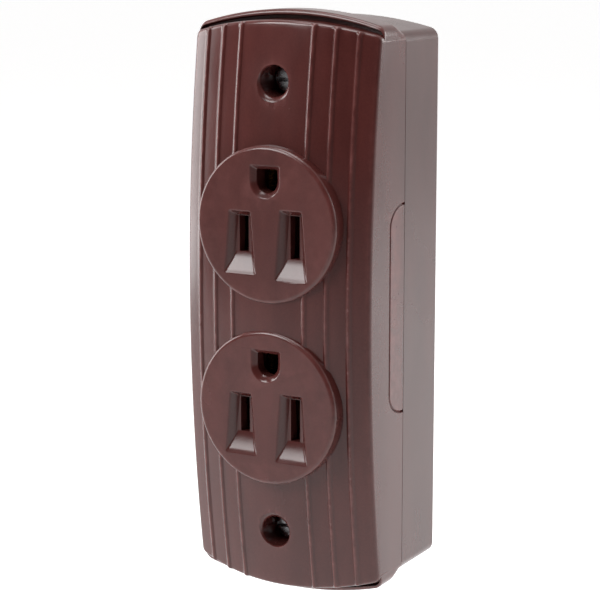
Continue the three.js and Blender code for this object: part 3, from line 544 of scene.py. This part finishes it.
def crowned_solid(name, half_width, apex, sagitta, corner, depth_at, edge_radius, skirts, columns, rows):
    """A block whose front follows depth_at(x, z) inside an arched outline, with a rounded arris.

    skirts are (widening, depth) pairs for the walls below the arris, front to rear.
    """
    arch = (half_width ** 2 + sagitta ** 2) / (2 * sagitta)
    arch_centre = apex - arch
    corner_x = half_width - corner
    corner_z = arch_centre + math.sqrt((arch - corner) ** 2 - corner_x ** 2)
    corner_end = math.atan2(corner_z - arch_centre, corner_x)

    def end_height(x):
        x = abs(x)
        if x > arch * math.cos(corner_end):
            return corner_z + math.sqrt(max(corner ** 2 - (x - corner_x) ** 2, 0))
        return arch_centre + math.sqrt(arch ** 2 - x ** 2)

    def inset(x, z):
        x, z = abs(x), abs(z)
        if x > corner_x and z > corner_z:
            return corner - math.hypot(x - corner_x, z - corner_z)
        return min(half_width - x, arch - math.hypot(x, z - arch_centre))

    def drop(x, z):
        short = edge_radius - min(max(inset(x, z), 0), edge_radius)
        return edge_radius - math.sqrt(edge_radius ** 2 - short ** 2)

    points = []
    edge_band = max(edge_radius, 0.4)
    for x in columns:
        top = end_height(x)
        for row in rows:
            if abs(row) > 1:
                z = math.copysign(top - edge_band * (2 - abs(row)) ** 2, row)
            else:
                z = row * (top - edge_band)
            points.append((x, depth_at(x, z) - drop(x, z), z))
    across, along = len(columns), len(rows)
    faces = [
        (i * along + j, (i + 1) * along + j, (i + 1) * along + j + 1, i * along + j + 1)
        for i in range(across - 1) for j in range(along - 1)
    ]
    border = [i * along for i in range(across)]
    border += [(across - 1) * along + j for j in range(1, along)]
    border += [i * along + along - 1 for i in range(across - 2, -1, -1)]
    border += [j for j in range(along - 2, 0, -1)]
    previous = border
    for widening, depth in skirts:
        ring = []
        for index in border:
            x, _, z = points[index]
            ring.append(len(points))
            points.append((x * (1 + widening / half_width), depth, z))
        for k in range(len(border)):
            n = (k + 1) % len(border)
            faces.append((previous[k], previous[n], ring[n], ring[k]))
        previous = ring
    faces.append(tuple(previous))
    return solid(name, points, faces)


def edge_rows(steps):
    """Row positions: -2..-1 and 1..2 crowd into the rounded arris, -1..1 is even between."""
    fine = [2 - k / 8 for k in range(8)]
    even = [1 - 2 * k / steps for k in range(steps + 1)]
    return [-v for v in fine] + list(reversed(even)) + list(reversed(fine))


def panel_columns(half_width):
    inner = set()
    for centre in RIDGES:
        for k in range(-8, 9):
            inner.add(round(centre + RIDGE_HALF_WIDTH * k / 8, 4))
    for k in range(24):
        inner.add(round(0.35 + 0.36 * k, 4))
    for start in (10.1, 15.0, 19.8):
        inner.update(round(start + 0.45 * k, 4) for k in range(6))
    inner = sorted(v for v in inner if v < half_width - PANEL_EDGE_RADIUS)
    spaced = [inner[0]]
    for value in inner[1:]:
        if value - spaced[-1] > 0.03:
            spaced.append(value)
    edge = [half_width - PANEL_EDGE_RADIUS * (k / 10) ** 2 for k in range(10, -1, -1)]
    right = spaced + edge
    return [-x for x in reversed(right)] + [0.0] + right


def even_columns(half_width, steps):
    """Columns that crowd towards the two sides, where the outline turns."""
    return [half_width * math.sin(math.pi / 2 * k / steps) for k in range(-steps, steps + 1)]


def panel_block():
    half = HALF_WIDTH - PANEL_DRAFT
    skirts = [(PANEL_DRAFT, RIM_DEPTH + 0.2), (PANEL_DRAFT, RIM_DEPTH - 4), (PANEL_DRAFT, PARTING_COVER)]
    return crowned_solid("panel", half, PANEL_APEX, PANEL_SAGITTA, PANEL_CORNER,
                         lambda x, z: panel_depth(x, z) + ridge_height(x), PANEL_EDGE_RADIUS,
                         skirts, panel_columns(half), edge_rows(120))


def cover_cavity():
    return crowned_solid("cavity", CAVITY_HALF_WIDTH, CAVITY_APEX, CAVITY_SAGITTA, CORNER_RADIUS,
                         lambda x, z: panel_depth(x, z) - PANEL_THICKNESS, 1.5,
                         [(0, PARTING_COVER - 1)], even_columns(CAVITY_HALF_WIDTH, 24), edge_rows(40))


def end_lips():
    """The collar whose arched ends stand proud of the base at top and bottom."""
    half = HALF_WIDTH - 0.02

    def outline(apex, sagitta):
        return arched_outline(half, apex, sagitta, CORNER_RADIUS)

    sections = [(outline(BASE_APEX, BASE_SAGITTA), PARTING_COVER + 0.05)]
    for share in (0.15, 0.85):
        apex = BASE_APEX + (COVER_APEX - BASE_APEX) * share
        sagitta = BASE_SAGITTA + (COVER_SAGITTA - BASE_SAGITTA) * share
        depth = PARTING_COVER + (HEEL_DEPTH - PARTING_COVER) * share ** 1.1
        sections.append((outline(apex, sagitta), depth))
    sections.append((outline(COVER_APEX, COVER_SAGITTA), HEEL_DEPTH + 0.4))
    for k in range(7):
        angle = math.pi / 2 * k / 6
        apex = COVER_APEX - RIM_ROUNDING * (1 - math.cos(angle))
        sections.append((outline(apex, COVER_SAGITTA), RIM_DEPTH - RIM_ROUNDING * (1 - math.sin(angle))))
    lips = loft("lips", sections)
    channel = arched_outline(HALF_WIDTH - 0.35, PANEL_APEX + GROOVE_WIDTH, GROOVE_SAGITTA, PANEL_CORNER)
    inner = arched_outline(HALF_WIDTH - 0.35, PANEL_APEX + GROOVE_WIDTH - 0.3, GROOVE_SAGITTA, PANEL_CORNER)
    floor = RIM_DEPTH - GROOVE_DEPTH
    sections = [(inner, floor), (channel, floor + 0.4), (channel, RIM_DEPTH + 2)]
    return cut(lips, loft("channel", sections))


def receptacle_face(centre):
    outer = FACE_FLAT_RADIUS + FACE_ROUNDING
    profile = [(outer + 0.2, 27.5), (outer + 0.2, FACE_DEPTH - 5), (outer, FACE_DEPTH - FACE_ROUNDING)]
    for k in range(1, 9):
        angle = math.pi / 2 * k / 8
        profile.append((FACE_FLAT_RADIUS + FACE_ROUNDING * math.cos(angle),
                        FACE_DEPTH - FACE_ROUNDING * (1 - math.sin(angle))))
    return turned("face", 0, centre, profile, steps=160)


def rounded_quad(x, half_top, half_bottom, top, bottom, corner, steps=4):
    """A trapezoid with rounded corners, counter-clockwise."""
    corners = [(x + half_top, top, 0), (x - half_top, top, 90), (x - half_bottom, bottom, 180),
               (x + half_bottom, bottom, 270)]
    outline = []
    for cx, cz, start in corners:
        sx, sz = (1 if cx > x else -1), (1 if cz == top else -1)
        for k in range(steps + 1):
            angle = math.radians(start + 90 * k / steps)
            outline.append((cx + corner * (math.cos(angle) - sx), cz + corner * (math.sin(angle) - sz)))
    return outline


def blade_slot(x, centre, half_height):
    top, bottom = centre + half_height, centre - half_height
    throat = rounded_quad(x, SLOT_HALF_WIDTH, SLOT_HALF_WIDTH, top, bottom, 0.15)
    floor = FACE_DEPTH - FUNNEL_DEPTH
    sections = [(throat, FACE_DEPTH - OPENING_DEPTH), (throat, floor - 0.02)]
    for k in range(9):
        share = k / 8
        half_top = SLOT_HALF_WIDTH + 0.25 + (FUNNEL_TOP - SLOT_HALF_WIDTH - 0.25) * share
        half_bottom = FUNNEL_ROOT + (FUNNEL_BOTTOM - FUNNEL_ROOT) * share
        high = top + 0.1 + 1.2 * share
        low = bottom - 0.15 - 4.5 * share ** 0.85
        sections.append((rounded_quad(x, half_top, half_bottom, high, low, 0.2 + 0.25 * share),
                         floor + FUNNEL_DEPTH * share))
    rim = rounded_quad(x, FUNNEL_TOP + 0.2, FUNNEL_BOTTOM + 0.2, top + 1.5, bottom - 4.85, 0.5)
    sections[-1] = (sections[-1][0], FACE_DEPTH - 0.12)
    sections += [(rim, FACE_DEPTH + 0.02), (rim, FACE_DEPTH + 1)]
    return loft("slot", sections)


def ground_outline(centre, half_width, rise, steps=24):
    corner = 0.35
    outline = []
    for sx, start in ((1, 0), (-1, 90)):
        for k in range(5):
            angle = math.radians(start + 90 * k / 4)
            outline.append((sx * (half_width - corner) + corner * math.cos(angle),
                            centre + rise - corner + corner * math.sin(angle)))
    for k in range(steps + 1):
        angle = math.pi + math.pi * k / steps
        outline.append((half_width * math.cos(angle), centre + half_width * math.sin(angle)))
    return outline


def ground_hole(centre):
    half = GROUND_HALF_WIDTH
    floor = FACE_DEPTH - GROUND_BEVEL
    throat = ground_outline(centre, half, half)
    sections = [(throat, FACE_DEPTH - OPENING_DEPTH), (throat, floor)]
    for k in range(1, 6):
        share = k / 5
        spread = 1.05 * share ** 1.15
        sections.append((ground_outline(centre, half + spread, half + 0.8 * spread), floor + share))
    rim = ground_outline(centre, half + 1.25, half + 1.0)
    sections += [(rim, FACE_DEPTH + 0.02), (rim, FACE_DEPTH + 1)]
    return loft("ground", sections)


def screw_hole(z):
    mouth = panel_depth(0, z)
    widening = [(0, mouth - 0.9), (0.1, mouth - 0.6), (0.35, mouth - 0.3), (0.7, mouth + 0.02)]
    widening += [(1.05, mouth + 0.2), (1.2, mouth + 1.2)]
    profile = [(SCREW_BORE, SCREW_SEAT)] + [(SCREW_BORE + more, depth) for more, depth in widening]
    return turned("screw_hole", 0, z, profile, steps=96)


def tab_outline(grow, rear):
    """(depth, z) outline of a break-out tab: straight front, elliptical ends, open to the parting plane."""
    front = TAB_FRONT - PARTING + grow
    end = TAB_REACH - TAB_STRAIGHT + grow
    outline = [(rear, -TAB_REACH - grow)]
    for k in range(17):
        angle = math.pi / 2 * k / 16
        outline.append((PARTING + front * math.sin(angle), -TAB_STRAIGHT - end * math.cos(angle)))
    for k in range(17):
        angle = math.pi / 2 * k / 16
        outline.append((PARTING + front * math.cos(angle), TAB_STRAIGHT + end * math.sin(angle)))
    outline.append((rear, TAB_REACH + grow))
    return outline


def side_loft(name, sections, side):
    """A solid through (depth, z) outlines, each at its own distance from the middle of the case."""
    count = len(sections[0][0])
    points = [(side * x, depth, z) for outline, x in sections for depth, z in outline]
    faces = [tuple(range(count)), tuple(range(len(points) - count, len(points)))]
    for level in range(len(sections) - 1):
        start = level * count
        for i in range(count):
            j = (i + 1) % count
            faces.append((start + i, start + j, start + count + j, start + count + i))
    return solid(name, points, faces)


def tab_window(side):
    rear = PARTING_COVER - 1
    return side_loft("window", [
        (tab_outline(0.05, rear), CAVITY_HALF_WIDTH - 1),
        (tab_outline(0.05, rear), HALF_WIDTH - 0.4),
        (tab_outline(0.4, rear), HALF_WIDTH + 0.02),
        (tab_outline(0.4, rear), HALF_WIDTH + 1),
    ], side)


def breakout_tab(side):
    rear = PARTING_COVER
    return side_loft("tab", [
        (tab_outline(-0.4, rear), HALF_WIDTH - 1.5),
        (tab_outline(0, rear), HALF_WIDTH - 1.1),
        (tab_outline(0, rear), HALF_WIDTH - 0.4),
        (tab_outline(-0.28, rear), HALF_WIDTH - 0.06),
        (tab_outline(-0.38, rear), HALF_WIDTH),
    ], side)


def front_cover():
    body = join(panel_block(), end_lips(), *[receptacle_face(z) for z in FACE_CENTRE.values()])
    cut(body, cover_cavity())
    bosses = [
        turned("boss", 0, end * COVER_SCREW_HEIGHT,
               [(5.0, 19.2), (5.2, 19.5), (5.2, panel_depth(0, COVER_SCREW_HEIGHT) - 1)], steps=64)
        for _, end in UPPER_LOWER
    ]
    join(body, *bosses)
    tools = []
    for centre in FACE_CENTRE.values():
        line = centre - SLOT_DROP
        tools.append(blade_slot(-BLADE_OFFSET, line, HOT_HALF_HEIGHT))
        tools.append(blade_slot(BLADE_OFFSET, line, NEUTRAL_HALF_HEIGHT))
        tools.append(ground_hole(line + GROUND_RISE))
    for _, end in UPPER_LOWER:
        tools.append(screw_hole(end * COVER_SCREW_HEIGHT))
        tools.append(turned("bore", 0, end * COVER_SCREW_HEIGHT, [(CLEARANCE, 18), (CLEARANCE, 30)]))
    tools += [tab_window(1), tab_window(-1)]
    return cut(body, *tools)


# ------------------------------------------------------------------ rear base

BACK_ROUNDING = 0.6
WALL_CORE = 1.6      # the CAD node's own inside is kept up to this far from the outer wall
WALL_RING = 2.4      # and the smooth outer wall reaches in to here


def copy_of(node):
    source = frame["nodes"][node]
    made = bpy.data.objects.new(node + "_copy", source.data.copy())
    made.matrix_world = source.matrix_world
    bpy.context.scene.collection.objects.link(made)
    return made


def rear_base():
    """The CAD node's inside within a smooth outer wall that meets the cover in a hairline."""
    top = PARTING - HAIRLINE / 2

    def outline(inset):
        return arched_outline(HALF_WIDTH - inset, BASE_APEX - inset, BASE_SAGITTA, CORNER_RADIUS)

    sections = []
    for k in range(7):
        angle = math.pi / 2 * k / 6
        inset = BACK_ROUNDING * (1 - math.sin(angle))
        sections.append((outline(inset), BACK_ROUNDING * (1 - math.cos(angle))))
    sections += [(outline(0), top - 0.1), (outline(0.04), top)]
    wall = loft("wall", sections)
    cut(wall, loft("inside", [(outline(WALL_RING), -1), (outline(WALL_RING), PARTING + 1)]))
    core = copy_of("rear_base")
    clip = loft("clip", [(outline(WALL_CORE), -1), (outline(WALL_CORE), BLOCK_FRONT + 1)])
    combine(core, "INTERSECT", [clip])
    return join(core, wall)


# ------------------------------------------------------------------ screws, washers and inserts

PITCH = 0.79375
SHANK_RADIUS = 1.75
THREAD_DEPTH = 0.4
TIP_CHAMFER = 0.35
DRIVER_SLOT = 0.45
COVER_HEAD_HEIGHT = 2.1
TERMINAL_HEAD_HEIGHT = 2.0
PRESSED_EDGE = 0.1
RIVET_SHANK = 0.95
RIVET_RISE = 0.6


def centre_of(node):
    size = limits(node)
    return size, sum(size["x"]) / 2, sum(size["z"]) / 2


def machine_screw(node, head_height):
    """A slotted round-head screw with a helical thread that fades out under the head."""
    size, x, z = centre_of(node)
    tip, top = size["depth"]
    head = (size["x"][1] - size["x"][0]) / 2
    seat = top - head_height
    crest = SHANK_RADIUS
    rings = int((seat - tip) / PITCH * 8)

    def thread(angle, radius, depth):
        if depth > seat - 0.4:
            return radius
        turn = (depth / PITCH + angle / (2 * math.pi)) % 1
        taper = min((depth - tip) / PITCH, 1) * THREAD_DEPTH
        return radius - THREAD_DEPTH + taper * (1 - abs(2 * turn - 1))

    profile = [(crest - TIP_CHAMFER, tip)]
    profile += [(crest, tip + 0.3 + (seat - 0.5 - tip - 0.3) * k / rings) for k in range(rings + 1)]
    profile += [(crest - THREAD_DEPTH, seat - 0.3), (crest, seat), (head - 0.12, seat), (head, seat + 0.12)]
    for k in range(11):
        angle = math.pi / 2 * k / 10
        reach = head * (0.5 + 0.5 * math.cos(angle))
        profile.append((reach, seat + head_height * (0.45 + 0.55 * math.sin(angle))))
    body = turned(node, x, z, profile, 48, thread)
    return cut(body, box(around(x, head + 1), (top - head_height / 2, top + 1), around(z, DRIVER_SLOT)))


def ring(node, hole, rounding, ripple=None):
    """A washer or insert: rounded outer edges, a hole with broken edges, and knurling if asked."""
    size, x, z = centre_of(node)
    rear, front = size["depth"]
    radius = (size["x"][1] - size["x"][0]) / 2
    body = turned(node, x, z, [(radius - rounding, rear), (radius, rear + rounding),
                               (radius, front - rounding), (radius - rounding, front)], 96, ripple)
    flare = rounding * 0.8
    return cut(body, turned("hole", x, z, [(hole + flare, rear - 0.01), (hole, rear + flare),
                                           (hole, front - flare), (hole + flare, front + 0.01)]))


def knurl(angle, radius, depth):
    return radius - 0.12 * abs(math.sin(angle * 14))


def rivet(node):
    size, x, z = centre_of(node)
    rear, front = size["depth"]
    head, rise = (size["x"][1] - size["x"][0]) / 2, RIVET_RISE
    dome = [(head * math.sin(math.pi / 2 * k / 6), rear + rise * (1 - math.cos(math.pi / 2 * k / 6)))
            for k in range(1, 7)]
    upset = [(head * math.cos(math.pi / 2 * k / 6), front - rise * (1 - math.sin(math.pi / 2 * k / 6)))
             for k in range(6)]
    shank = [(RIVET_SHANK, rear + rise + 0.01), (RIVET_SHANK, front - rise - 0.01)]
    return turned(node, x, z, dome + shank + upset)


def softened(node, width):
    """A copy of a pressed-metal CAD node with its flat facets merged and its edges rounded over."""
    made = copy_of(node)
    work = bmesh.new()
    work.from_mesh(made.data)
    bmesh.ops.remove_doubles(work, verts=work.verts, dist=1e-7)
    bmesh.ops.dissolve_limit(work, angle_limit=math.radians(1), verts=work.verts, edges=work.edges)
    work.to_mesh(made.data)
    work.free()
    rounding = made.modifiers.new("rounding", "BEVEL")
    rounding.width = width * MM
    rounding.segments = 2
    rounding.limit_method = "ANGLE"
    rounding.angle_limit = math.radians(35)
    return baked(made)


stands_for("front_cover", front_cover())
stands_for("breakout_tab_right", breakout_tab(1))
stands_for("breakout_tab_left", breakout_tab(-1))
stands_for("rear_base", rear_base())

for end, _ in UPPER_LOWER:
    stands_for(f"cover_screw_{end}", machine_screw(f"cover_screw_{end}", COVER_HEAD_HEIGHT), 40)
    stands_for(f"cover_washer_{end}", ring(f"cover_washer_{end}", CLEARANCE, 0.12))
    stands_for(f"cover_insert_{end}", ring(f"cover_insert_{end}", CLEARANCE, 0.2, knurl))
    stands_for(f"ground_rivet_{end}", rivet(f"ground_rivet_{end}"))
    stands_for(f"ground_contact_{end}", softened(f"ground_contact_{end}", PRESSED_EDGE))
    for pole in ("hot", "neutral"):
        screw, clamp = f"{pole}_terminal_screw_{end}", f"{pole}_clamp_{end}"
        stands_for(screw, machine_screw(screw, TERMINAL_HEAD_HEIGHT), 40)
        stands_for(clamp, softened(clamp, PRESSED_EDGE))
stands_for("ground_terminal_screw", machine_screw("ground_terminal_screw", TERMINAL_HEAD_HEIGHT), 40)
for node in ("ground_clamp", "ground_strap", "hot_contact_strip", "neutral_contact_strip"):
    stands_for(node, softened(node, PRESSED_EDGE))

for name, node in frame["nodes"].items():
    node.data.materials.clear()
    node.data.materials.append(LOOKS[SLOT_OF[name]])
